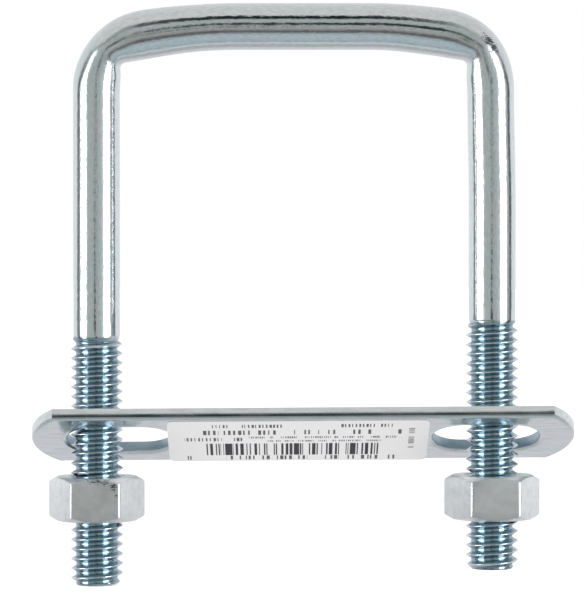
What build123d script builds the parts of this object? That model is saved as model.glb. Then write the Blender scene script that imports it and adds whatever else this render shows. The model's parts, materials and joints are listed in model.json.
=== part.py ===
"""Square U-bolt with a slotted clamping plate, two hex nuts and a paper label.

Zinc-plated steel hardware of the size 5/16 in - 18 x 2 in x 3 in, in millimetres, +Z up.
Origin: midway between the axes of the two legs, at the level where their plain shanks
begin above the threads. +X runs from the left leg to the right leg, +Z up to the crossbar.
"""

import os
from math import cos, radians, sin, tan

from build123d import *

INCH = 25.4

# Rod and legs
shank_d = 6.9                       # plain rod, rolled down to the thread's pitch diameter
thread_d = 7.76                     # over the thread crests
thread_pitch = INCH / 18
thread_depth = 0.80
crest_flat = 0.18
leg_spacing = 58.4                  # between the leg axes
thread_length = 36.9
tip_chamfer = 0.9
run_out = 1.5                       # the crests fade into the shank over this length
core_overlap = 0.03                 # the core reaches this far into the ridge's base
crest_clearance = 0.01              # the turned outline stands this far off the crests
leg_tip_z = {"left": -40.0, "right": -37.6}

# Crossbar and bends
crossbar_z = 42.42                  # centreline of the straight middle
crossbar_straight = 16.0            # length of that straight middle
arch_angle = 9.3                    # degrees, slope of the crossbar where it meets a bend
bend_start_x = 22.2                 # where the arch meets the bend, from the middle
bend_squash = 1.3                   # the rod is this much thinner at the middle of a bend
bend_swell = 0.5                    # and this much wider across the bend
bend_sections = 7

# Clamping plate, held tilted by the threads through its slots
plate_length = 80.1
plate_width = 16.9
plate_thickness = 1.75
plate_end_bulge = 3.8               # height of the rounded ends over the straight sides
slot_length = 16.3
slot_width = 9.6
slot_spacing = 54.0
plate_centre = (1.30, 0.0, -17.72)
plate_tilt = 25.1                   # degrees about X, front edge up
plate_roll = 0.40                   # degrees about Y, left end down

# Paper label on the underside of the plate
label_length = 38.4
label_width = 15.9
label_thickness = 0.12
label_corner_r = 1.2
label_offset = (-0.75, 0.38)        # from the plate's centre

# Hex nuts
nut_flats = 12.4
nut_height = 6.5
nut_face_d = 11.9                   # flat ring at each end, inside the corner chamfers
nut_bore_d = 7.96                   # runs clear of the crests, as the nut slides in this model
nut_bore_chamfer = 0.45
nut_chamfer_angle = 30.0
nut_bottom_z = {"left": -30.43, "right": -30.2}
nut_turn = {"left": 0.8, "right": 2.2}  # degrees about the leg

shank_r = shank_d / 2
crest_r = thread_d / 2
root_r = crest_r - thread_depth
leg_x = {"left": -leg_spacing / 2, "right": leg_spacing / 2}

os.makedirs("parts", exist_ok=True)


def threaded_end():
    """The threaded end of a leg, standing on the XY plane with its tip at the origin."""
    thread_top = thread_length - run_out / 2
    ridge_half_base = (thread_pitch - crest_flat) / 2
    helix = Helix(thread_pitch, thread_top, root_r, center=(0, 0, 0))
    with BuildPart() as end:
        # The ridge of the thread, a flat-crested 60 degree tooth swept along the helix
        with BuildSketch(Plane(origin=(root_r, 0, 0), x_dir=(1, 0, 0), z_dir=(0, -1, 0))):
            with BuildLine():
                Polyline(
                    (0, -ridge_half_base),
                    (thread_depth, -crest_flat / 2),
                    (thread_depth, crest_flat / 2),
                    (0, ridge_half_base),
                    close=True,
                )
            make_face()
        sweep(path=helix, is_frenet=True)
        # The core, a little over the root radius so that it closes the ridge's base
        core_r = root_r + core_overlap
        Cylinder(core_r, thread_length, align=(Align.CENTER, Align.CENTER, Align.MIN))
        # Tip chamfer and the fade of the crests at the top
        outline_r = crest_r + crest_clearance
        with BuildSketch(Plane.XZ):
            with BuildLine():
                Polyline(
                    (0, 0),
                    (crest_r - tip_chamfer, 0),
                    (outline_r, tip_chamfer),
                    (outline_r, thread_length - run_out),
                    (shank_r, thread_length),
                    (0, thread_length),
                    close=True,
                )
            make_face()
        revolve(axis=Axis.Z, mode=Mode.INTERSECT)
    return end.part


def bend_section_plane(angle, thickness):
    """Plane across the rod, angle degrees round the left bend from the top of the leg."""
    centre_radius = bend_radius + shank_r - thickness / 2
    outward = (-cos(radians(angle)), 0, sin(radians(angle)))
    along = (sin(radians(angle)), 0, cos(radians(angle)))
    origin = (
        bend_centre_x + centre_radius * outward[0],
        0,
        bend_centre_z + centre_radius * outward[2],
    )
    return Plane(origin=origin, x_dir=outward, z_dir=along)


# The bend turns from the vertical leg to the slope of the crossbar
bend_turn = 90 - arch_angle
arch_radius = (bend_start_x - crossbar_straight / 2) / sin(radians(arch_angle))
bend_top_z = crossbar_z - arch_radius * (1 - cos(radians(arch_angle)))
bend_radius = (leg_spacing / 2 - bend_start_x) / (1 - cos(radians(bend_turn)))
bend_centre_x = -leg_spacing / 2 + bend_radius
bend_centre_z = bend_top_z - bend_radius * sin(radians(bend_turn))

threaded_leg_end = threaded_end()

with BuildPart() as u_bolt:
    # Left half of the crossbar: straight in the middle, arched gently down to the bend
    with BuildLine(Plane.XZ) as half_crossbar:
        middle = Line((0, crossbar_z), (-crossbar_straight / 2, crossbar_z))
        JernArc(middle @ 1, middle % 1, arch_radius, arch_angle)
    with BuildSketch(Plane(origin=(0, 0, crossbar_z), z_dir=(-1, 0, 0))):
        Circle(shank_r)
    sweep(path=half_crossbar.line)
    # Left bend, thinned on its inner side where the rod was folded
    for step in range(bend_sections):
        angle = bend_turn * step / (bend_sections - 1)
        squash = sin(radians(180 * step / (bend_sections - 1))) ** 2
        thickness = shank_d - bend_squash * squash
        with BuildSketch(bend_section_plane(angle, thickness)):
            Ellipse(thickness / 2, (shank_d + bend_swell * squash) / 2)
    loft()
    mirror(about=Plane.YZ)
    # Each leg: a plain shank over a threaded end. Both threads are right-handed.
    for side, x in leg_x.items():
        shank_bottom = leg_tip_z[side] + thread_length
        with BuildSketch(Plane.XY.offset(shank_bottom)):
            with Locations((x, 0)):
                Circle(shank_r)
        extrude(amount=bend_centre_z - shank_bottom)
        add(Pos(x, 0, leg_tip_z[side]) * threaded_leg_end)

u_bolt.part.label = "u_bolt"
export_step(u_bolt.part, "parts/u_bolt.step")


# Plate: straight sides, rounded ends and one slot for each leg
plate_plane = Plane(Location(plate_centre, (-plate_tilt, -plate_roll, 0)))
underside = plate_plane.offset(-plate_thickness / 2)

with BuildPart() as clamp_plate:
    with BuildSketch(underside):
        end_x = plate_length / 2 - plate_end_bulge
        with BuildLine():
            near = Line((-end_x, -plate_width / 2), (end_x, -plate_width / 2))
            right = ThreePointArc(near @ 1, (plate_length / 2, 0), (end_x, plate_width / 2))
            far = Line(right @ 1, (-end_x, plate_width / 2))
            ThreePointArc(far @ 1, (-plate_length / 2, 0), near @ 0)
        make_face()
        with GridLocations(slot_spacing, 0, 2, 1):
            SlotOverall(slot_length, slot_width, mode=Mode.SUBTRACT)
    extrude(amount=plate_thickness)

clamp_plate.part.label = "clamp_plate"
export_step(clamp_plate.part, "parts/clamp_plate.step")


with BuildPart() as label:
    with BuildSketch(underside):
        with Locations(label_offset):
            RectangleRounded(label_length, label_width, label_corner_r)
    extrude(amount=-label_thickness)

label.part.label = "label"
export_step(label.part, "parts/label.step")


# Hex nuts: double-chamfered, each turned a little about its leg
flat_r = nut_flats / 2
corner_r = flat_r / cos(radians(30))
corner_drop = (corner_r - nut_face_d / 2) * tan(radians(nut_chamfer_angle))
bore_r = nut_bore_d / 2
mouth_r = bore_r + nut_bore_chamfer

for side, x in leg_x.items():
    nut_base = Plane(Location((x, 0, nut_bottom_z[side]), (0, 0, nut_turn[side])))
    nut_section = Plane(origin=nut_base.origin, x_dir=(1, 0, 0), z_dir=(0, -1, 0))
    with BuildPart() as nut:
        with BuildSketch(nut_base):
            RegularPolygon(flat_r, 6, major_radius=False)
        extrude(amount=nut_height)
        # Turned outline: bore, its chamfered mouths and the chamfered corners
        with BuildSketch(nut_section):
            with BuildLine():
                Polyline(
                    (mouth_r, 0),
                    (nut_face_d / 2, 0),
                    (corner_r, corner_drop),
                    (corner_r, nut_height - corner_drop),
                    (nut_face_d / 2, nut_height),
                    (mouth_r, nut_height),
                    (bore_r, nut_height - nut_bore_chamfer),
                    (bore_r, nut_bore_chamfer),
                    close=True,
                )
            make_face()
        revolve(axis=Axis(nut_base.origin, (0, 0, 1)), mode=Mode.INTERSECT)
    nut.part.label = f"hex_nut_{side}"
    export_step(nut.part, f"parts/hex_nut_{side}.step")
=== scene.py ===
"""Looks of the square U-bolt: bent zinc-plated rod, slotted plate, two hex nuts and a paper label.

Everything is in metres in the CAD frame: origin midway between the legs, +X from the left leg to
the right leg, +Z up to the crossbar, -Y towards the camera.
"""
import json
import math

import bmesh
import bpy
import numpy as np
from mathutils import Matrix, Vector


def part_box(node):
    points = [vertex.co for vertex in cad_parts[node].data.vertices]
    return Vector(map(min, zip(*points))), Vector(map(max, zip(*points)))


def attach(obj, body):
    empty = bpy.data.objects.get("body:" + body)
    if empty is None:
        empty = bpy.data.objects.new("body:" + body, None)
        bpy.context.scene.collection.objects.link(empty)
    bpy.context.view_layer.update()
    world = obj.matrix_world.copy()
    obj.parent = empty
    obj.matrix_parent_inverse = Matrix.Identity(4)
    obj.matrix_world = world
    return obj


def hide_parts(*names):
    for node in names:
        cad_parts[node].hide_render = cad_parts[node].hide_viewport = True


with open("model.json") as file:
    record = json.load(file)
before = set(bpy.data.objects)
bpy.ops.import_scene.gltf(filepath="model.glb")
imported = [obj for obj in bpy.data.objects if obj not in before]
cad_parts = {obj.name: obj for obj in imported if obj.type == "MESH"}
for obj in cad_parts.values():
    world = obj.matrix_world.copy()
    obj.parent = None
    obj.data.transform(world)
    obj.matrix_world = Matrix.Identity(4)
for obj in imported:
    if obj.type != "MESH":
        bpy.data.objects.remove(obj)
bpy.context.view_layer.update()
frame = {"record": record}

MM = 0.001
INCH = 25.4 * MM

# ---------------------------------------------------------------- sizes, in metres
legs = next(m for m in frame["record"]["mounts"] if m["name"] == "legs")
LEG_X = legs["dims"]["spacing_x_mm"] * MM / 2
SHANK_R = legs["dims"]["stud_r_mm"] * MM
SIDES = {"left": -1, "right": 1}

rod_low, rod_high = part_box("u_bolt")
CREST_R = rod_high.x - LEG_X
PITCH = INCH / 18
THREAD_DEPTH = 0.80 * MM
THREAD_LENGTH = 36.9 * MM
TIP_CHAMFER = 0.9 * MM
TIP_SLOPE = 1.05                        # how fast the chamfer widens with height
RUN_OUT = 2.2 * MM                      # the crests fade into the shank over this length
ROOT_RUN_OUT = 1.1 * MM                 # and the roots over this one
RIGHT_LEG_SHORTER = 2.4 * MM
TIP_Z = {"left": rod_low.z, "right": rod_low.z + RIGHT_LEG_SHORTER}
CREST_START = {"left": 0.33 * MM, "right": -0.06 * MM}     # crest above the tip, on the +X side

# Each bend turns about a pivot: (distance from the middle, height, fullness of the outer corner)
BEND = {
    "left": (20.85 * MM, 33.15 * MM, -0.06 * MM),
    "right": (20.10 * MM, 32.90 * MM, 0.33 * MM),
}
BEND_TURN = math.radians(80.7)
BEND_SWELL = 0.35                       # widening across the bend, as a share of its thinning
INNER_CORNER_R = 1.1 * MM
INNER_BULGE = 0.14 * MM                 # metal pushed out below each inner corner
BULGE_HEIGHT = 2.2 * MM                 # the bulge's middle, over the bend's pivot
BULGE_REACH = 1.5 * MM
LEAN = {"left": 0.0, "right": 0.24 * MM}        # each leg's top leans in by this much
LEAN_FROM_Z = 16 * MM
BAR_CENTRE_Z = rod_high.z - SHANK_R
BAR_UNDERSIDE_Z = rod_high.z - 2 * SHANK_R
BAR_FLAT = {"left": 8.0 * MM, "right": 10.6 * MM}      # the crossbar is straight this far out
BAR_DROP = 6.0                          # 1/m, how fast it falls away beyond that
BAR_EASING = 9.0 * MM                   # length over which a bend's section becomes the bar's
BAR_END = 0.86                          # share of the way to the leg where the bar meets the corner

RING = 72                               # vertices round the rod
SHANK_GAP = 0.4 * MM                    # the highest shank section stays this far below the bend
SHANK_SECTIONS, BEND_SECTIONS, BAR_SECTIONS = 26, 36, 34


# ---------------------------------------------------------------- mesh helpers
def mesh_object(name, verts, faces, uvs=None, flow=None, ridge=None, smooth_angle=None):
    """A mesh object from vertices and faces.

    uvs is one pair per vertex. flow is a place per vertex for streaks that follow the metal, and
    ridge says where on a thread the vertex is: PLAIN, or 0 at the root to 1 on the crest.
    """
    mesh = bpy.data.meshes.new(name)
    mesh.from_pydata([tuple(v) for v in verts], [], faces)
    if flow is not None:
        layer = mesh.attributes.new("flow", "FLOAT_VECTOR", "POINT")
        layer.data.foreach_set("vector", np.asarray(flow, np.float32).ravel())
    if ridge is not None:
        layer = mesh.attributes.new("ridge", "FLOAT", "POINT")
        layer.data.foreach_set("value", np.asarray(ridge, np.float32).ravel())
    if uvs is not None:
        layer = mesh.uv_layers.new(name="surface")
        index = np.zeros(len(mesh.loops), np.int32)
        mesh.loops.foreach_get("vertex_index", index)
        layer.data.foreach_set("uv", np.asarray(uvs, np.float32)[index].ravel())
    bm = bmesh.new()
    bm.from_mesh(mesh)
    bmesh.ops.remove_doubles(bm, verts=bm.verts, dist=2e-7)
    bmesh.ops.dissolve_degenerate(bm, edges=bm.edges, dist=2e-7)
    bmesh.ops.recalc_face_normals(bm, faces=bm.faces)
    bm.to_mesh(mesh)
    bm.free()
    mesh.polygons.foreach_set("use_smooth", [True] * len(mesh.polygons))
    if smooth_angle is not None:
        mesh.set_sharp_from_angle(angle=math.radians(smooth_angle))
    obj = bpy.data.objects.new(name, mesh)
    bpy.context.scene.collection.objects.link(obj)
    return obj


def ring_faces(rows, columns, caps=True):
    """Quads between successive rows of vertices, whose first and last columns coincide."""
    faces = []
    for i in range(rows - 1):
        for j in range(i * columns, (i + 1) * columns - 1):
            faces.append((j, j + 1, j + columns + 1, j + columns))
    if caps:
        last = (rows - 1) * columns
        faces.append(tuple(reversed(range(columns - 1))))
        faces.append(tuple(range(last, last + columns - 1)))
    return faces


def smoothstep(t):
    """t eased from 0 to 1."""
    t = np.clip(t, 0, 1)
    return t * t * (3 - 2 * t)


# ---------------------------------------------------------------- threads
PLAIN = -0.25                           # ridge value of the plain rod
# Lengths along the leg, as shares of the pitch
FLANK_SHARE = THREAD_DEPTH / math.tan(math.radians(60)) / PITCH
CREST_SHARE = 0.035                     # half of the crest's flat
ROOT_END = 0.5 - CREST_SHARE - FLANK_SHARE
ROOT_ROUNDING = 0.035
CREST_ROUNDING = 0.014
PAST_ROOT = 1.4 * ROOT_ROUNDING         # rows that hold the flank straight between the roundings
PAST_CREST = 1.8 * CREST_ROUNDING


def ridge_height(share):
    """Height of a 60 degree thread, 0 to 1, at a share of the pitch from the root, up to half."""
    rounding = ROOT_ROUNDING if share < ROOT_END + FLANK_SHARE / 2 else CREST_ROUNDING
    near = share + rounding * np.linspace(-1, 1, 9)
    return float(np.clip((near - ROOT_END) / FLANK_SHARE, 0, 1).mean())


def one_turn():
    """One turn of the thread as (share of the pitch, height), close together where it curves."""
    corner = np.array([-1.0, -0.5, 0.0, 0.5, 1.0])
    crest = 0.5 - CREST_SHARE
    flank = [ROOT_END + PAST_ROOT, crest - PAST_CREST]
    half = [0.0, *(ROOT_END + ROOT_ROUNDING * corner), *flank, *(crest + CREST_ROUNDING * corner[::2])]
    rising = [(share, ridge_height(share)) for share in half]
    return rising + [(0.5, 1.0)] + [(1 - share, height) for share, height in reversed(rising[1:])]


def thread_rows(azimuth, length, crest_start, root_r, crest_r):
    """Radius, height and ridge of each vertex of a right-hand thread, rows by columns.

    azimuth holds each column's true angle about the leg, through a whole turn, so that the last
    column continues the first one turn of the thread on. Heights outside the thread's length are
    brought to its ends, where the rows run together.
    """
    turns = int(length / PITCH) + 3
    rows = [(turn + share, height) for turn in range(-2, turns) for share, height in one_turn()]
    phase, heights = np.array(rows).T
    z = (phase[:, None] - 0.5 + azimuth / (2 * math.pi)) * PITCH + crest_start
    ridge = np.broadcast_to(heights[:, None], z.shape)
    return root_r + (crest_r - root_r) * ridge, np.clip(z, 0, length), ridge


def leg_thread(side, angles):
    """Rings of the threaded end of a leg, from the tip up to the shank."""
    azimuth = angles if side == "left" else math.pi - angles
    root_r = CREST_R - THREAD_DEPTH
    radius, z, ridge = thread_rows(azimuth, THREAD_LENGTH, CREST_START[side], root_r, CREST_R)
    # The tip is chamfered, and at the top the crests and roots run out into the shank
    tip = CREST_R - TIP_CHAMFER + z * TIP_SLOPE
    above = smoothstep((z - (THREAD_LENGTH - RUN_OUT)) / RUN_OUT)
    crest_limit = CREST_R + (SHANK_R - CREST_R) * above
    root_above = smoothstep((z - (THREAD_LENGTH - ROOT_RUN_OUT)) / ROOT_RUN_OUT)
    root_limit = root_r + (SHANK_R - root_r) * root_above
    radius = np.minimum(np.minimum(radius, tip), crest_limit)
    radius = np.maximum(radius, np.minimum(root_limit, tip))
    x = SIDES[side] * LEG_X + radius * np.cos(azimuth)
    y = radius * np.sin(azimuth)
    ridge = ridge + (PLAIN - ridge) * smoothstep((z - (THREAD_LENGTH - RUN_OUT / 2)) / (RUN_OUT / 2))
    return np.stack([x, y, z + TIP_Z[side]], axis=2), ridge


# ---------------------------------------------------------------- the bent rod
def bar_drop(side, x):
    """How far the crossbar lies below its middle, at a distance x from the middle."""
    return BAR_DROP * max(0.0, x - BAR_FLAT[side]) ** 2


def inner_radius(side, angle):
    """Distance from the bend's pivot to the rod's inner side: two straight runs and a tight corner."""
    pivot_x, pivot_z, _ = BEND[side]
    inside_x = LEG_X - SHANK_R - LEAN[side]
    to_leg = (inside_x - pivot_x) / math.cos(angle)
    below = BAR_UNDERSIDE_Z - bar_drop(side, inside_x * BAR_END) - pivot_z
    lean = math.pi / 2 - BEND_TURN
    to_bar = below * math.cos(lean) / math.cos(BEND_TURN - angle)
    # Smooth minimum of the two, which rounds the corner
    blend = max(0.0, 1 - abs(to_leg - to_bar) / INNER_CORNER_R)
    above_pivot = to_leg * math.sin(angle)
    bulge = INNER_BULGE * math.exp(-((above_pivot - BULGE_HEIGHT) / BULGE_REACH) ** 2)
    return min(to_leg, to_bar) - blend * blend * INNER_CORNER_R / 4 - bulge


def half_rod(side):
    """(centre, inward direction, half depth, half width) from one leg's thread to the middle.

    Worked out as if on the left; the caller mirrors the right half.
    """
    pivot_x, pivot_z, fullness = BEND[side]
    outer_r = LEG_X + SHANK_R - LEAN[side] - pivot_x
    sections = []
    shank_from = TIP_Z[side] + THREAD_LENGTH
    for t in np.linspace(0, 1, SHANK_SECTIONS)[1:]:
        z = shank_from + (pivot_z - SHANK_GAP - shank_from) * t
        lean = LEAN[side] * float(smoothstep((z - LEAN_FROM_Z) / (pivot_z - LEAN_FROM_Z)))
        sections.append((Vector((lean - LEG_X, 0, z)), Vector((1, 0, 0)), SHANK_R, SHANK_R))
    for t in np.linspace(0, 1, BEND_SECTIONS):
        angle = BEND_TURN * t
        near = inner_radius(side, angle)
        out = Vector((-math.cos(angle), 0, math.sin(angle)))
        far = outer_r + fullness * math.sin(2 * angle) ** 2
        half = (far - near) / 2
        squeeze = max(0.0, SHANK_R - half)
        centre = Vector((-pivot_x, 0, pivot_z)) + out * (near + far) / 2
        sections.append((centre, -out, half, SHANK_R + BEND_SWELL * squeeze))
    end, _, end_half, end_width = sections[-1]
    # Ease the bend's end into the bar
    miss = end.z - (BAR_CENTRE_Z - bar_drop(side, -end.x))
    for x in np.linspace(end.x, 0, BAR_SECTIONS)[1:]:
        slope = math.atan(2 * BAR_DROP * max(0.0, -x - BAR_FLAT[side]))
        inward = Vector((math.sin(slope), 0, -math.cos(slope)))
        z = BAR_CENTRE_Z - bar_drop(side, -x)
        left_over = 1 - float(smoothstep((x - end.x) / BAR_EASING))
        half = SHANK_R + (end_half - SHANK_R) * left_over
        width = SHANK_R + (end_width - SHANK_R) * left_over
        sections.append((Vector((x, 0, z + miss * left_over)), inward, half, width))
    return sections


def rod_sections():
    """All sections of the smooth rod, from the left leg to the right leg."""
    mirrored = [
        (Vector((-centre.x, 0, centre.z)), Vector((-inward.x, 0, inward.z)), half, width)
        for centre, inward, half, width in reversed(half_rod("right")[:-1])
    ]
    return half_rod("left") + mirrored


def make_rod():
    """The whole rod as one skin, from the left tip to the right tip."""
    angles = np.linspace(0, 2 * math.pi, RING + 1)
    left_rows, left_ridge = leg_thread("left", angles)
    right_rows, right_ridge = leg_thread("right", angles)
    smooth_rows = []
    for centre, inward, half, width in rod_sections():
        ring = np.array(centre) + half * np.cos(angles)[:, None] * np.array(inward)
        ring[:, 1] += width * np.sin(angles)
        smooth_rows.append(ring)
    smooth_rows = np.array(smooth_rows)
    rows = np.concatenate([left_rows, smooth_rows, right_rows[::-1]])
    ridge = np.concatenate([left_ridge, np.full(smooth_rows.shape[:2], PLAIN), right_ridge[::-1]])
    # Places on the rod as if it were straight, for streaks that run along it
    middle = smooth_rows.mean(axis=1)
    steps = np.linalg.norm(np.diff(middle, axis=0), axis=1)
    along = THREAD_LENGTH + np.concatenate([[0], np.cumsum(steps)])
    left_along = left_rows[:, :, 2] - TIP_Z["left"]
    right_along = along[-1] + THREAD_LENGTH - (right_rows[:, :, 2] - TIP_Z["right"])
    smooth_along = np.broadcast_to(along[:, None], smooth_rows.shape[:2])
    all_along = np.concatenate([left_along, smooth_along, right_along[::-1]])
    around = SHANK_R * np.array([np.cos(angles), np.sin(angles)])
    flow = np.stack(np.broadcast_arrays(*around, all_along), axis=2)
    faces = ring_faces(len(rows), len(angles))
    rod = mesh_object(
        "rod", rows.reshape(-1, 3), faces, flow=flow.reshape(-1, 3), ridge=ridge, smooth_angle=58
    )
    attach(rod, "u_bolt")
    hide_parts("u_bolt")
    return rod


# ---------------------------------------------------------------- hex nuts
NUT_TURN = {"left": 0.8, "right": 2.2}          # degrees about the leg
NUT_FLAT_R = 6.2 * MM                   # half of the width across flats
NUT_EDGE_R = 0.50 * MM                  # rounding of the six upright edges
NUT_FACE_R = 5.9 * MM                   # flat ring at each end, inside the corner chamfers
NUT_FACE_ROWS = (5.8 * MM, 5.0 * MM)    # radii of the rows of vertices on that ring
NUT_MOUTH_R = 4.25 * MM                 # countersink of the bore
NUT_MOUTH_SLOPE = 1.4
NUT_THREAD_R = 4.0 * MM
NUT_THREAD_MINOR_R = 3.4 * MM
NUT_RING = 180                          # vertices round the nut
NUT_CORNER_CROWDING = 1.7               # above 1, they stand closer together at the corners
NUT_CHAMFER_SLOPE = math.tan(math.radians(30))
NUT_CHAMFER_ROWS = (0.0, 0.04, 0.5, 0.93)       # shares of the way out to the corners
# The edge between chamfer and flat is eased: inset, and heights past it where that begins and ends
NUT_EASING_INSET = 0.02 * MM
NUT_EASING_FROM = 0.03 * MM
NUT_EASING_TO = 0.12 * MM


def hexagon_radius(angle):
    """Distance from the nut's axis to its outline, with flats facing the Y axis."""
    half_side = math.radians(30)
    off_corner = math.radians(abs((math.degrees(angle) + 30) % 60 - 30))
    centre = (NUT_FLAT_R - NUT_EDGE_R) / math.cos(half_side)
    tangent = math.atan2(
        NUT_EDGE_R * math.sin(half_side), centre + NUT_EDGE_R * math.cos(half_side)
    )
    if off_corner < tangent:
        aside = centre * math.sin(off_corner)
        return centre * math.cos(off_corner) + math.sqrt(NUT_EDGE_R ** 2 - aside ** 2)
    return NUT_FLAT_R / math.cos(half_side - off_corner)


def hexagon_angles():
    """Column angles through a whole turn of the nut, closer together at the corners."""
    step = np.linspace(-30, 30, NUT_RING // 6, endpoint=False)
    packed = np.sign(step) * 30 * (abs(step) / 30) ** NUT_CORNER_CROWDING
    return np.radians(np.append(np.concatenate([60 * k + packed for k in range(6)]), 330))


def nut_crest_start(side, nut_z):
    """Height of the nut's thread crests over its bottom face, half a pitch from the leg's crests."""
    return (TIP_Z[side] + CREST_START[side] + PITCH / 2 - nut_z) % PITCH


def make_nut(side):
    """One nut: rings of vertices about its axis, whose profile closes on itself."""
    low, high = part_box(f"hex_nut_{side}")
    height = high.z - low.z
    angles = hexagon_angles()
    outline = np.array([hexagon_radius(a) for a in angles])
    drop = (outline - NUT_FACE_R) * NUT_CHAMFER_SLOPE
    # Lower part of the outer skin, from the bottom face's edge up to the flats
    lower = [(NUT_FACE_R + (outline - NUT_FACE_R) * share, drop * share) for share in NUT_CHAMFER_ROWS]
    lower.append((outline - NUT_EASING_INSET, drop + NUT_EASING_FROM))
    lower.append((outline, drop + NUT_EASING_TO))
    upper = [(r, height - h) for r, h in lower]
    flat_low, flat_high = lower[-1][1], upper[-1][1]
    flats = [(outline, flat_high * (1 - share) + flat_low * share) for share in (0.3, 0.5, 0.7)]
    # Bottom face, countersunk and threaded bore, top face
    bottom = [(np.full(len(angles), r), np.zeros(len(angles))) for r in NUT_FACE_ROWS]
    radius, z, _ = thread_rows(
        angles, height, nut_crest_start(side, low.z), NUT_THREAD_R, NUT_THREAD_MINOR_R
    )
    mouth = NUT_MOUTH_R - np.minimum(z, height - z) * NUT_MOUTH_SLOPE
    bore = list(zip(np.maximum(radius, mouth), z))
    top = [(r, h + height) for r, h in reversed(bottom)]
    turn = math.radians(NUT_TURN[side])
    rows = []
    for r, h in upper + flats + lower[::-1] + bottom + bore + top:
        x = SIDES[side] * LEG_X + r * np.cos(angles + turn)
        y = r * np.sin(angles + turn)
        rows.append(np.stack([x, y, low.z + h], axis=1))
    rows = np.array(rows + rows[:1])
    faces = ring_faces(len(rows), len(angles), caps=False)
    nut = mesh_object(f"nut_{side}", rows.reshape(-1, 3), faces, smooth_angle=28)
    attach(nut, f"nut_{side}")
    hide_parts(f"hex_nut_{side}")
    return nut


# ---------------------------------------------------------------- plate and label
plate_low, plate_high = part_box("clamp_plate")
PLATE_TILT = math.radians(-25.1)
PLATE_ROLL = math.radians(-0.40)
PLATE_THICK = 1.75 * MM
PLATE_LENGTH = 80.1 * MM
PLATE_WIDTH = 16.9 * MM
END_BULGE = 3.5 * MM                    # height of the rounded ends over the straight sides
SLOT_LENGTH = 15.95 * MM
SLOT_WIDTH = 9.45 * MM
SLOT_SPACING = 54.0 * MM
# How far punching rolls the underside's corner over: inwards along the underside, and upwards
OUTER_ROLL = (0.60 * MM, 0.36 * MM)
SLOT_ROLL = (1.2 * MM, 0.32 * MM)
ROLL_ROWS = 11
CUT_INSET = 0.05 * MM                   # a slot's wall counts as cut where it is within this
BURR = 0.1 * MM                         # worn off the upper corners
plate_centre = (plate_low + plate_high) / 2
plate_matrix = (
    Matrix.Translation(plate_centre)
    @ Matrix.Rotation(PLATE_TILT, 4, "X")
    @ Matrix.Rotation(PLATE_ROLL, 4, "Y")
)


def arc_points(centre, radius, start, end, count):
    """Points and outward normals on an arc, start and end in degrees."""
    turn = np.radians(np.linspace(start, end, count))
    normals = np.stack([np.cos(turn), np.sin(turn)], axis=1)
    return np.array(centre) + radius * normals, normals


def outline_loop(half_length, half_width, bulge, per_arc, per_side):
    """Closed outline of a strip with arc ends, as points and outward normals, anticlockwise."""
    radius = (half_width ** 2 + bulge ** 2) / (2 * bulge)
    sweep = math.degrees(math.asin(min(1.0, half_width / radius)))
    cx = half_length - radius
    points, normals = [], []
    for sign, mid in ((1, 0), (-1, 180)):
        arc, arc_n = arc_points((sign * cx, 0), radius, mid - sweep, mid + sweep, per_arc)
        points += [*arc]
        normals += [*arc_n]
        start, end = arc[-1], arc[-1] * np.array([-1, 1])
        for t in np.linspace(0, 1, per_side + 2)[1:-1]:
            points.append(start + (end - start) * t)
            normals.append(np.array([0.0, float(sign)]))
    return np.array(points), np.array(normals)


def edge_rows(roll_in, roll_up):
    """Edge of the plate as (inset from the outline, height over the underside), from below.

    The underside's corner is rolled over in a quarter of an ellipse; the upper corner only loses
    its burr.
    """
    turn = np.linspace(0, math.pi / 2, ROLL_ROWS)
    rolled = [(roll_in * (1 - math.sin(t)), roll_up * (1 - math.cos(t))) for t in turn]
    worn = [(BURR * share, PLATE_THICK - BURR * rest) for share, rest in ((0, 1), (0.3, 0.3), (1, 0))]
    return rolled + worn


def make_plate():
    """The plate: swept edges round its outline and slots, closed by a flat face on each side."""
    bm = bmesh.new()
    cut_layer = bm.verts.layers.float.new("cut")         # 1 on the sheared walls of the slots
    loops = []
    outer, outer_n = outline_loop(
        PLATE_LENGTH / 2, PLATE_WIDTH / 2, END_BULGE, per_arc=33, per_side=60
    )
    loops.append((outer, outer_n, edge_rows(*OUTER_ROLL), 0.0))
    slot, slot_n = outline_loop(
        SLOT_LENGTH / 2, SLOT_WIDTH / 2, SLOT_WIDTH / 2, per_arc=33, per_side=10
    )
    for side in SIDES.values():
        shift = np.array([side * SLOT_SPACING / 2, 0])
        loops.append((slot + shift, -slot_n, edge_rows(*SLOT_ROLL), 1.0))
    under, over = [], []
    for points, normals, edge, cut in loops:
        rings = []
        for inset, height in edge:
            at = points - normals * inset
            ring = [bm.verts.new((p[0], p[1], height - PLATE_THICK / 2)) for p in at]
            for vert in ring:
                vert[cut_layer] = cut if inset < CUT_INSET else 0.0
            rings.append(ring)
        for a, b in zip(rings, rings[1:]):
            for j in range(len(a)):
                k = (j + 1) % len(a)
                bm.faces.new((a[j], a[k], b[k], b[j]))
        under.append(rings[0])
        over.append(rings[-1])
    for side_rings in (under, over):
        edges = []
        for ring in side_rings:
            edges += [bm.edges.get((ring[j], ring[(j + 1) % len(ring)])) for j in range(len(ring))]
        bmesh.ops.triangle_fill(bm, edges=edges, use_beauty=True, use_dissolve=False)
    bmesh.ops.recalc_face_normals(bm, faces=bm.faces)
    mesh = bpy.data.meshes.new("plate")
    bm.to_mesh(mesh)
    bm.free()
    mesh.transform(plate_matrix)
    mesh.polygons.foreach_set("use_smooth", [True] * len(mesh.polygons))
    mesh.set_sharp_from_angle(angle=math.radians(30))
    plate = bpy.data.objects.new("plate", mesh)
    bpy.context.scene.collection.objects.link(plate)
    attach(plate, "plate")
    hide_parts("clamp_plate")
    return plate


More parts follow.
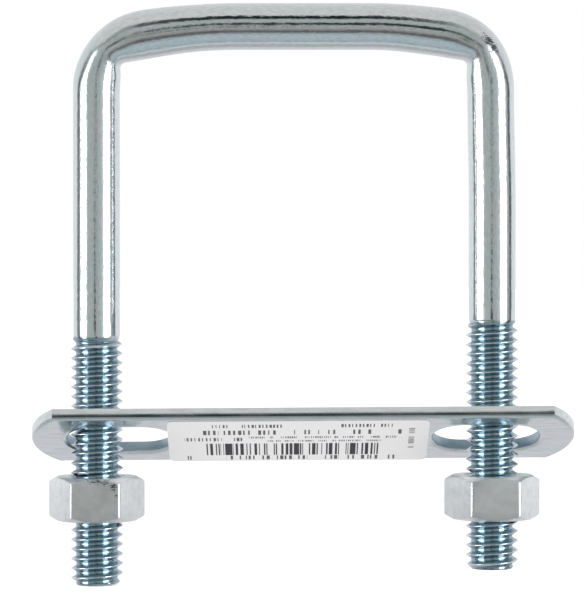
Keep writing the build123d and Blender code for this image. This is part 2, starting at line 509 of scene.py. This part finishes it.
LABEL_LENGTH = 38.4 * MM
LABEL_WIDTH = 15.9 * MM
LABEL_OFFSET = (-0.75 * MM, 0.38 * MM)
LABEL_CORNER = 1.0 * MM
LABEL_THICK = 0.10 * MM
LABEL_GAP = 0.01 * MM                   # glue, between the paper and the plate


def round_corner(x, y):
    """A place on the label's rectangle, pulled in where it lies in a corner to round that."""
    inner_x = LABEL_LENGTH / 2 - LABEL_CORNER
    inner_y = LABEL_WIDTH / 2 - LABEL_CORNER
    past_x, past_y = abs(x) - inner_x, abs(y) - inner_y
    if past_x > 0 and past_y > 0:
        reach = max(past_x, past_y) / math.hypot(past_x, past_y)
        x = math.copysign(inner_x + past_x * reach, x)
        y = math.copysign(inner_y + past_y * reach, y)
    return x, y


def make_label():
    """The label: two grids of vertices, joined along their rim; its uvs are in mm."""
    columns, rows = 96, 37
    verts, uvs = [], []
    for level in (0, 1):
        z = -PLATE_THICK / 2 - LABEL_GAP - level * LABEL_THICK
        for y in LABEL_WIDTH * np.linspace(-0.5, 0.5, rows):
            for x in LABEL_LENGTH * np.linspace(-0.5, 0.5, columns):
                at_x, at_y = round_corner(x, y)
                verts.append((at_x + LABEL_OFFSET[0], at_y + LABEL_OFFSET[1], z))
                uvs.append((x / MM, y / MM))
    faces = []
    size = columns * rows
    for j in range(rows - 1):
        for i in range(columns - 1):
            a = j * columns + i
            faces.append((a, a + 1, a + columns + 1, a + columns))
            faces.append(tuple(size + v for v in (a, a + columns, a + columns + 1, a + 1)))
    rim = list(range(columns)) + [j * columns + columns - 1 for j in range(1, rows)]
    rim += [(rows - 1) * columns + i for i in reversed(range(columns - 1))]
    rim += [j * columns for j in reversed(range(1, rows - 1))]
    for a, b in zip(rim, rim[1:] + rim[:1]):
        faces.append((a, b, size + b, size + a))
    label = mesh_object("label_sticker", verts, faces, uvs, smooth_angle=40)
    label.data.transform(plate_matrix)
    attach(label, "plate")
    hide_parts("label")
    return label


# ---------------------------------------------------------------- materials
class Graph:
    """Short calls for building a node tree."""

    def __init__(self, tree):
        self.nodes, self.links = tree.nodes, tree.links

    def node(self, kind, **inputs):
        """A node with sockets set by name, from values or from other nodes' outputs."""
        node = self.nodes.new("ShaderNode" + kind)
        for name, value in inputs.items():
            self.feed(node.inputs[name.replace("_", " ")], value)
        return node

    def feed(self, socket, value):
        if isinstance(value, bpy.types.NodeSocket):
            self.links.new(value, socket)
        else:
            socket.default_value = value

    def maths(self, operation, *values):
        node = self.nodes.new("ShaderNodeMath")
        node.operation = operation
        for socket, value in zip(node.inputs, values):
            self.feed(socket, value)
        return node.outputs["Value"]

    def between(self, value, low, high, to_low=0.0, to_high=1.0):
        """value eased from to_low at low to to_high at high."""
        node = self.node("MapRange", Value=value, **{"From Min": low, "From Max": high})
        node.inputs["To Min"].default_value = to_low
        node.inputs["To Max"].default_value = to_high
        node.interpolation_type = "SMOOTHSTEP"
        return node.outputs["Result"]

    def ramp(self, value, stops):
        """A colour ramp with (position, colour or grey) stops."""
        node = self.node("ValToRGB", Fac=value)
        elements = node.color_ramp.elements
        while len(elements) < len(stops):
            elements.new(0.5)
        for element, (position, colour) in zip(elements, stops):
            element.position = position
            colour = (colour,) * 3 if isinstance(colour, (int, float)) else colour
            element.color = (*colour, 1)
        return node.outputs["Color"]

    def mix(self, share, first, second, blend="MIX"):
        """Two colours mixed; input sockets 0, 6 and 7 are the factor and the two colours."""
        node = self.nodes.new("ShaderNodeMix")
        node.data_type = "RGBA"
        node.blend_type = blend
        for index, value in ((0, share), (6, first), (7, second)):
            self.feed(node.inputs[index], value)
        return node.outputs[2]

    def noise(self, place, scale, detail):
        return self.node("TexNoise", Vector=place, Scale=scale, Detail=detail).outputs["Fac"]

    def attribute(self, name, output="Fac"):
        node = self.nodes.new("ShaderNodeAttribute")
        node.attribute_name = name
        return node.outputs[output]

    def stretched(self, place, factors):
        """place with each coordinate multiplied by its factor."""
        node = self.nodes.new("ShaderNodeVectorMath")
        node.operation = "MULTIPLY"
        self.feed(node.inputs[0], place)
        node.inputs[1].default_value = factors
        return node.outputs["Vector"]

    def compared(self, operation, place, other):
        """DISTANCE or DOT_PRODUCT of place and a fixed vector."""
        node = self.nodes.new("ShaderNodeVectorMath")
        node.operation = operation
        self.feed(node.inputs[0], place)
        node.inputs[1].default_value = other
        return node.outputs["Value"]


def new_material(name):
    """A new material, the Graph of its node tree and its shader."""
    material = bpy.data.materials.new(name)
    material.use_nodes = True
    graph = Graph(material.node_tree)
    return material, graph, material.node_tree.nodes["Principled BSDF"]


ZINC_COOL = (0.775, 0.865, 0.885)
ZINC_PLAIN = (0.815, 0.880, 0.885)
ZINC_LILAC = (0.845, 0.855, 0.905)
NUT_COOL = (0.93, 0.97, 0.98)
NUT_PLAIN = (0.95, 0.98, 0.98)
NUT_LILAC = (0.95, 0.96, 0.99)
# On a thread, by height: blue passivation in the groove and up the flank, darkened there as painted
# shade for the dimness deep between the threads, lilac below a pale crest
GROOVE_BLUE_AND_SHADE = (0.36, 0.50, 0.56)
FLANK_BLUE_AND_SHADE = (0.42, 0.55, 0.61)
CREST_LILAC = (0.84, 0.84, 0.91)
CREST_PALE = (0.90, 0.92, 0.95)
CUT_BLUE = (0.56, 0.69, 0.76, 1)
SCUFF_DARK = (0.10, 0.12, 0.13, 1)

CRYSTALS = 5200                         # noise scales, per metre
CLOUDS = 150
SCRATCHES = (1900, 1900, 8500)          # flat flecks, short up and down
SCRATCH_RARITY = 0.855                  # noise past this is a scratch, but seldom outside a spot
SCRATCH_GAIN = 0.34                     # an amount of 1 in a spot lowers that by so much
SCRATCH_EDGE = (-0.03, 0.10)            # how far past it a scratch begins and is full
# Added roughness
SCUFF_ROUGH = 0.35
BEND_ROUGH = 0.10
CUT_ROUGH = 0.30
# The bends grow dull over these ranges of height and of distance from the middle
DULL_ABOVE = (33 * MM, 38 * MM)
DULL_BEYOND = (21 * MM, 26 * MM)


def scuffed(graph, place, spots):
    """Mask of short dark scratches, thickest in the middle quarter of each spot's reach."""
    scratches = graph.noise(graph.stretched(place, SCRATCHES), 1.0, 2)
    total = 0.0
    for centre, reach, amount in spots:
        away = graph.compared("DISTANCE", place, Vector(centre) * MM)
        near = graph.between(away, reach * MM * 0.25, reach * MM, amount, 0.0)
        total = graph.maths("ADD", total, near)
    threshold = graph.maths("MULTIPLY_ADD", total, -SCRATCH_GAIN, SCRATCH_RARITY)
    return graph.between(graph.maths("SUBTRACT", scratches, threshold), *SCRATCH_EDGE)


def zinc(name, roughness, flow_stretch, streaks, grain, spots,
         tints=(ZINC_COOL, ZINC_PLAIN, ZINC_LILAC), threaded=False, sheared=False):
    """Bright zinc plate with cloudy tint, streaks along the metal and fine crystal grain.

    flow_stretch is the streaks' noise scale along each axis, lowest along the direction that the
    steel was drawn or rolled in; streaks and grain are the heights of the two reliefs, in metres.
    A threaded piece has the rod's flow and ridge, which tint its thread blue and darken its groove and
    flanks with painted shade, and a sheared one has the slots' cut.
    """
    material, graph, shader = new_material(name)
    shader.inputs["Metallic"].default_value = 1.0
    place = graph.node("TexCoord").outputs["Object"]
    flow = graph.attribute("flow", "Vector") if threaded else place
    lines = graph.noise(graph.stretched(flow, flow_stretch), 1.0, 5)
    crystals = graph.noise(place, CRYSTALS, 3)
    clouds = graph.noise(place, CLOUDS, 3)

    cool, plain, lilac = tints
    colour = graph.ramp(clouds, [(0.30, cool), (0.52, plain), (0.72, lilac)])
    if threaded:
        # level is 0 on the plain rod, 0.2 at a root and 1 on a crest
        level = graph.maths("MULTIPLY_ADD", graph.attribute("ridge"), 0.8, 0.2)
        # Blue of the passivation, darkened in the groove and up the flanks as painted shade for the
        # dimness deep between the threads
        thread_tint_and_shade = graph.ramp(level, [
            (0.0, ZINC_PLAIN), (0.20, GROOVE_BLUE_AND_SHADE), (0.80, FLANK_BLUE_AND_SHADE), (0.93, CREST_LILAC),
            (1.0, CREST_PALE),
        ])
        on_thread = graph.between(level, 0.0, 0.15)
        colour = graph.mix(on_thread, colour, thread_tint_and_shade)
    if sheared:
        colour = graph.mix(graph.attribute("cut"), colour, CUT_BLUE)
    shade = graph.ramp(lines, [(0.30, 0.88), (0.62, 1.0)])
    colour = graph.mix(1.0, colour, shade, "MULTIPLY")
    scuff = scuffed(graph, place, spots)
    colour = graph.mix(scuff, colour, SCUFF_DARK)
    graph.links.new(colour, shader.inputs["Base Color"])

    rough = graph.between(clouds, 0.25, 0.75, roughness * 0.8, roughness * 1.25)
    rough = graph.maths("MULTIPLY_ADD", scuff, SCUFF_ROUGH, rough)
    if threaded:
        # The bends were stretched in forming and are duller
        where = graph.node("SeparateXYZ", Vector=place)
        high = graph.between(where.outputs["Z"], *DULL_ABOVE)
        far_out = graph.between(graph.maths("ABSOLUTE", where.outputs["X"]), *DULL_BEYOND)
        dull = graph.maths("MULTIPLY", high, far_out)
        rough = graph.maths("MULTIPLY_ADD", dull, BEND_ROUGH, rough)
    if sheared:
        rough = graph.maths("MULTIPLY_ADD", graph.attribute("cut"), CUT_ROUGH, rough)
    graph.links.new(rough, shader.inputs["Roughness"])

    relief = graph.maths("MULTIPLY", lines, streaks)
    relief = graph.maths("MULTIPLY_ADD", crystals, grain, relief)
    bump = graph.node("Bump", Height=relief, Strength=1.0, Distance=1.0)
    graph.links.new(bump.outputs["Normal"], shader.inputs["Normal"])
    return material


INK = (0.035, 0.035, 0.04, 1)
# Greeked print on the label: (left, right, middle height, line height, word length, share inked),
# in mm; +x runs along the plate and +y towards its back edge
PRINT_LINES = [
    (-12.7, -2.4, -6.05, 1.25, 2.6, 0.60),
    (5.4, 13.8, -6.15, 1.25, 3.0, 0.60),
    (-14.2, -2.9, -3.55, 1.75, 2.4, 0.58),
    (-0.6, 15.2, -3.65, 1.75, 1.7, 0.44),
    (-17.2, -8.0, -0.85, 1.35, 2.4, 0.60),
    (-7.3, 15.0, -1.60, 0.75, 1.2, 0.58),
    (-4.6, 12.4, -0.15, 0.65, 1.0, 0.58),
    (-16.5, -15.5, 6.55, 1.6, 9.0, 1.00),
    (-11.0, 1.4, 6.55, 1.6, 1.1, 0.54),
    (4.0, 11.9, 6.55, 1.6, 1.1, 0.54),
    (13.2, 14.4, 6.55, 1.6, 9.0, 1.00),
]
BARS_LEFT, BARS_RIGHT = -13.6, 11.9
BARS_TOP, BARS_BOTTOM = 0.80, 5.5
BAR_PITCH = 0.66
BAR_UNEVENNESS = 1.1                    # how far, in mm, noise shifts the bars to and fro
SIDE_NOTE = (16.7, -5.6, 3.0, 0.85)     # x, from, to, width of the note that runs up the end
SIDE_WORD, SIDE_SHARE = 1.4, 0.60
STROKE_PITCH = 0.42                     # distance between strokes, as a share of the line's height
STROKE_MIN, STROKE_SPREAD = 0.22, 0.52  # a stroke's width, as a share of its pitch
LINE_INK, SIDE_INK = 0.92, 0.85         # strength of the print; the bars have 1


def paper(name):
    """Coated label paper with generic bars and dashes in place of print."""
    material, graph, shader = new_material(name)
    place = graph.nodes.new("ShaderNodeUVMap")
    place.uv_map = "surface"
    split = graph.node("SeparateXYZ", Vector=place.outputs["UV"])
    x, y = split.outputs["X"], split.outputs["Y"]

    def inside(value, low, high):
        """1 where value lies between low and high."""
        middle, half = (low + high) / 2, (high - low) / 2
        return graph.maths("COMPARE", value, middle, half)

    def ticks(value, pitch, seed):
        """Upright strokes of uneven width, one in each pitch along value."""
        cell = graph.maths("DIVIDE", value, pitch)
        node = graph.nodes.new("ShaderNodeTexWhiteNoise")
        node.noise_dimensions = "1D"
        graph.links.new(graph.maths("ADD", graph.maths("FLOOR", cell), seed), node.inputs["W"])
        width = graph.maths("MULTIPLY_ADD", node.outputs["Value"], STROKE_SPREAD, STROKE_MIN)
        return graph.maths("LESS_THAN", graph.maths("FRACT", cell), width)

    def wavering(value, scale, seed):
        """1D noise along value."""
        node = graph.nodes.new("ShaderNodeTexNoise")
        node.noise_dimensions = "1D"
        node.inputs["Scale"].default_value = scale
        node.inputs["Detail"].default_value = 0
        graph.links.new(graph.maths("ADD", value, 17.3 * seed), node.inputs["W"])
        return node.outputs["Fac"]

    def dashes(along, across, start, end, middle, height, word, share, seed):
        """A line of dashes of uneven length, like words, each split into upright strokes."""
        inked = graph.maths("LESS_THAN", wavering(along, 1 / word, seed), share)
        strokes = ticks(along, height * STROKE_PITCH, 31.0 * seed)
        inked = graph.maths("MULTIPLY", inked, strokes)
        box = graph.maths(
            "MULTIPLY",
            inside(along, start, end),
            inside(across, middle - height / 2, middle + height / 2),
        )
        return graph.maths("MULTIPLY", inked, box)

    ink = 0.0
    for seed, (left, right, middle, height, word, share) in enumerate(PRINT_LINES):
        line = dashes(x, y, left, right, middle, height, word, share, seed)
        ink = graph.maths("MAXIMUM", ink, graph.maths("MULTIPLY", line, LINE_INK))
    note_x, note_from, note_to, note_width = SIDE_NOTE
    note = dashes(y, x, note_from, note_to, note_x, note_width, SIDE_WORD, SIDE_SHARE, seed=40)
    ink = graph.maths("MAXIMUM", ink, graph.maths("MULTIPLY", note, SIDE_INK))
    uneven = graph.maths("MULTIPLY_ADD", wavering(x, 1.3, seed=5), BAR_UNEVENNESS, x)
    bars = ticks(uneven, BAR_PITCH, seed=77)
    bars = graph.maths("MULTIPLY", bars, inside(x, BARS_LEFT, BARS_RIGHT))
    bars = graph.maths("MULTIPLY", bars, inside(y, BARS_TOP, BARS_BOTTOM))
    ink = graph.maths("MAXIMUM", ink, bars)

    fibres = graph.noise(place.outputs["UV"], 3.0, 5)
    stock = graph.ramp(fibres, [(0.3, (0.64, 0.635, 0.64)), (0.7, (0.69, 0.68, 0.69))])
    speckle = graph.noise(place.outputs["UV"], 9.0, 3)
    wear = graph.between(speckle, 0.25, 0.45, 0.75, 1.0)
    colour = graph.mix(graph.maths("MULTIPLY", ink, wear), stock, INK)
    graph.links.new(colour, shader.inputs["Base Color"])
    shader.inputs["Roughness"].default_value = 0.6
    shader.inputs["Specular IOR Level"].default_value = 0.15
    relief = graph.maths("MULTIPLY", fibres, 0.02 * MM)
    bump = graph.node("Bump", Height=relief, Strength=0.6, Distance=1.0)
    graph.links.new(bump.outputs["Normal"], shader.inputs["Normal"])
    return material


# ---------------------------------------------------------------- studio
FLOOR_GAP = 60 * MM                     # the floor lies this far below the left leg's tip


def make_floor():
    """A plain white floor, lit a little from within so that it has no grey horizon."""
    bm = bmesh.new()
    bmesh.ops.create_grid(bm, x_segments=8, y_segments=8, size=6.0)
    mesh = bpy.data.meshes.new("floor")
    bm.to_mesh(mesh)
    bm.free()
    floor = bpy.data.objects.new("floor", mesh)
    floor.location.z = rod_low.z - FLOOR_GAP
    bpy.context.scene.collection.objects.link(floor)
    material, _, shader = new_material("floor_paper")
    shader.inputs["Base Color"].default_value = (0.93, 0.93, 0.93, 1)
    shader.inputs["Roughness"].default_value = 0.9
    shader.inputs["Emission Color"].default_value = (1, 1, 1, 1)
    shader.inputs["Emission Strength"].default_value = 0.62
    floor.data.materials.append(material)
    floor.visible_glossy = False


# What the metal reflects, by direction. The object lies on a bright sweep that fills everything
# behind and above it; in front is a dim room with a soft light to each side and the camera.
def az(degrees):
    """Place of a direction on a ramp: 0 is towards the camera, 90 is +X on ROUND_ABOUT."""
    return 0.5 + degrees / 360


ROOM = (0.43, 0.465, 0.45)
SOFT_LIGHT = 6.0
SWEEP = (0.82, 0.84, 0.85)
ROUND_ABOUT = [
    (az(-180), 0.36), (az(-169), 0.36), (az(-160), SWEEP), (az(-110), SWEEP), (az(-96), 0.68),
    (az(-88), 0.80), (az(-84), 1.2), (az(-80), SOFT_LIGHT), (az(-54), SOFT_LIGHT), (az(-49), 0.95),
    (az(-44), 0.52), (az(-37), ROOM), (az(-10), (0.42, 0.45, 0.44)), (az(12), (0.43, 0.46, 0.46)),
    (az(26), (0.49, 0.53, 0.53)), (az(35), 0.64), (az(39), 0.95), (az(43), SOFT_LIGHT),
    (az(66), SOFT_LIGHT), (az(71), 0.95), (az(80), 0.74), (az(98), 0.70), (az(110), SWEEP),
    (az(160), SWEEP), (az(169), 0.36), (az(180), 0.36),
]
# The same up and down in the plane across the crossbar: 0 is level towards the camera, 90 up
UP_AND_DOWN = [
    (az(-180), SWEEP), (az(-150), (0.70, 0.68, 0.71)), (az(-129), (0.66, 0.64, 0.67)),
    (az(-122), (0.50, 0.50, 0.51)), (az(-108), (0.46, 0.465, 0.47)), (az(-92), (0.47, 0.49, 0.49)),
    (az(-84), (0.34, 0.39, 0.41)), (az(-76), (0.42, 0.48, 0.52)), (az(-50), (0.46, 0.52, 0.56)),
    (az(-38), (0.36, 0.40, 0.42)), (az(-32), (0.13, 0.125, 0.12)), (az(-25), (0.14, 0.13, 0.12)),
    (az(-17), (0.33, 0.33, 0.32)), (az(-6), (0.41, 0.42, 0.41)), (az(30), (0.42, 0.45, 0.44)),
    (az(50), (0.64, 0.65, 0.64)), (az(64), (0.67, 0.65, 0.64)), (az(85), (0.66, 0.635, 0.63)),
    (az(112), (0.69, 0.68, 0.68)), (az(180), SWEEP),
]
SWEEP_EDGE = Vector((0.005, 0.668, 0.743))      # normal of the plane where the sweep begins
SWEEP_WRAP = 0.10                               # and its bend round behind the object
# Where UP_AND_DOWN takes over from ROUND_ABOUT: near and past the edge, low down, and in the middle
OVER_EDGE = (-0.42, -0.10)
LOW_DOWN = (-0.25, -0.18)
MIDDLE = (0.06, 0.34)
EDGE_WIDTH = (0.130, 0.175)                     # where the dark line along the edge fades out
EDGE_NARROWING = 0.055                          # the line is this much thinner far to the side
EDGE_FRONT = (0.25, 0.45)                       # and ends behind the object
EDGE_DARK = (0.012, 0.016, 0.018, 1)
SPOT_DARK = (0.025, 0.03, 0.03, 1)
# How dark the line along the sweep's edge is, from -X at 0 to +X at 1
EDGE_STRENGTH = [
    (0.0, 0.75), (0.03, 0.72), (0.10, 0.35), (0.35, 0.40), (0.43, 0.85), (0.47, 1.0), (0.53, 1.0),
    (0.58, 0.55), (0.66, 0.25), (0.90, 0.30), (0.97, 0.75), (1.0, 0.85),
]
# Dark shapes towards the camera: (direction, cosines where the shadow begins and is full)
CAMERA_SPOTS = [
    (Vector((-0.0975, -0.9921, -0.0785)), 0.9952, 0.9984),
    (Vector((0.0300, -0.9868, 0.1590)), 0.9915, 0.9962),
]


def make_world():
    """The studio that the metal reflects; the camera itself sees plain white behind the object."""
    world = bpy.data.worlds.new("studio")
    world.use_nodes = True
    bpy.context.scene.world = world
    graph = Graph(world.node_tree)
    direction = graph.node("TexCoord").outputs["Generated"]
    split = graph.node("SeparateXYZ", Vector=direction)
    x, y, z = (split.outputs[axis] for axis in "XYZ")
    front = graph.maths("MULTIPLY", y, -1.0)

    def turn(across):
        """Angle between the front and across, as a place on a ramp."""
        angle = graph.maths("ARCTAN2", across, front)
        return graph.maths("MULTIPLY_ADD", angle, 1 / (2 * math.pi), 0.5)

    def along(axis):
        return graph.compared("DOT_PRODUCT", direction, axis)

    level = graph.ramp(turn(x), ROUND_ABOUT)
    steep = graph.ramp(turn(z), UP_AND_DOWN)
    sideways = graph.maths("ABSOLUTE", x)
    past_edge = graph.maths("MULTIPLY_ADD", sideways, -SWEEP_WRAP, along(SWEEP_EDGE))
    above = graph.between(past_edge, *OVER_EDGE)
    below = graph.between(z, *LOW_DOWN, 1.0, 0.0)
    middle = graph.between(sideways, *MIDDLE, 1.0, 0.0)
    share = graph.maths("MAXIMUM", graph.maths("MAXIMUM", above, below), middle)
    colour = graph.mix(share, level, steep)
    # Dark line along the sweep's edge
    from_edge = graph.maths("ABSOLUTE", past_edge)
    off_edge = graph.maths("MULTIPLY_ADD", sideways, EDGE_NARROWING, from_edge)
    line = graph.between(off_edge, *EDGE_WIDTH, 1.0, 0.0)
    in_front = graph.between(y, *EDGE_FRONT, 1.0, 0.0)
    strength = graph.ramp(graph.maths("MULTIPLY_ADD", x, 0.5, 0.5), EDGE_STRENGTH)
    line = graph.maths("MULTIPLY", graph.maths("MULTIPLY", line, in_front), strength)
    colour = graph.mix(line, colour, EDGE_DARK)
    for towards, begin, full in CAMERA_SPOTS:
        spot = graph.between(along(towards), begin, full)
        colour = graph.mix(spot, colour, SPOT_DARK)

    nodes, links = graph.nodes, graph.links
    studio = nodes["Background"]
    links.new(colour, studio.inputs["Color"])
    plain = nodes.new("ShaderNodeBackground")
    plain.inputs["Color"].default_value = (1, 1, 1, 1)
    rays = nodes.new("ShaderNodeLightPath")
    both = nodes.new("ShaderNodeMixShader")
    links.new(rays.outputs["Is Camera Ray"], both.inputs["Fac"])
    links.new(studio.outputs["Background"], both.inputs[1])
    links.new(plain.outputs["Background"], both.inputs[2])
    links.new(both.outputs["Shader"], nodes["World Output"].inputs["Surface"])


CAMERA_DISTANCE = 470 * MM
CAMERA_HEIGHT = 12 * MM
LOOK_AT = Vector((-0.35, 0, 1.8)) * MM
FRAME_WIDTH = 89.2 * MM                 # width of the picture at the object
SENSOR_WIDTH = 36                       # in Blender's own mm


def make_camera():
    """A long lens, straight in front and a little above the object's middle."""
    data = bpy.data.cameras.new("camera")
    camera = bpy.data.objects.new("camera", data)
    bpy.context.scene.collection.objects.link(camera)
    camera.location = (LOOK_AT.x, -CAMERA_DISTANCE, CAMERA_HEIGHT)
    direction = LOOK_AT - camera.location
    camera.rotation_euler = direction.to_track_quat("-Z", "Y").to_euler()
    data.sensor_width = SENSOR_WIDTH
    data.lens = SENSOR_WIDTH * direction.length / FRAME_WIDTH
    data.clip_start = 0.01
    data.clip_end = 50
    bpy.context.scene.camera = camera


# ---------------------------------------------------------------- assembly
# Scuffs left by bending and tightening: (middle in mm, reach in mm, amount)
ROD_SPOTS = [
    ((28.0, -3.0, 40.6), 1.6, 0.95),
    ((28.8, -3.1, 39.6), 1.6, 0.90),
    ((29.6, -3.2, 38.6), 1.6, 0.95),
    ((-28.7, -2.8, 38.6), 1.0, 0.65),
]
NUT_SPOTS = {
    "left": [
        ((-26.4, -6.2, -25.1), 1.1, 1.30),
        ((-27.6, -6.2, -24.5), 0.9, 1.15),
        ((-28.7, -6.2, -24.4), 0.9, 1.10),
        ((-29.8, -6.2, -24.4), 0.9, 1.05),
        ((-26.1, -6.2, -26.4), 0.6, 1.05),
    ],
    "right": [((25.9, -6.2, -25.4), 0.8, 0.60)],
}
PLATE_SPOTS = [
    ((-34.0, -3.4, -19.3), 2.2, 0.80),          # where the thread has rubbed
    ((36.2, -3.2, -19.2), 1.3, 0.6),
]

rod = make_rod()
rod_zinc = zinc(
    "zinc_rod", roughness=0.085, flow_stretch=(2600, 2600, 1200), streaks=0.0180 * MM,
    grain=0.0045 * MM, spots=ROD_SPOTS, threaded=True,
)
rod.data.materials.append(rod_zinc)
for side in SIDES:
    nut = make_nut(side)
    nut_zinc = zinc(
        f"zinc_nut_{side}", roughness=0.31, flow_stretch=(900, 900, 900), streaks=0.0060 * MM,
        grain=0.0026 * MM, spots=NUT_SPOTS[side], tints=(NUT_COOL, NUT_PLAIN, NUT_LILAC),
    )
    nut.data.materials.append(nut_zinc)
plate = make_plate()
plate_zinc = zinc(
    "zinc_plate", roughness=0.15, flow_stretch=(400, 1500, 1500), streaks=0.0036 * MM,
    grain=0.0030 * MM, spots=PLATE_SPOTS, sheared=True,
)
plate.data.materials.append(plate_zinc)
label = make_label()
label.data.materials.append(paper("label_paper"))
make_floor()
make_world()
make_camera()
bpy.context.scene.view_settings.view_transform = "Standard"
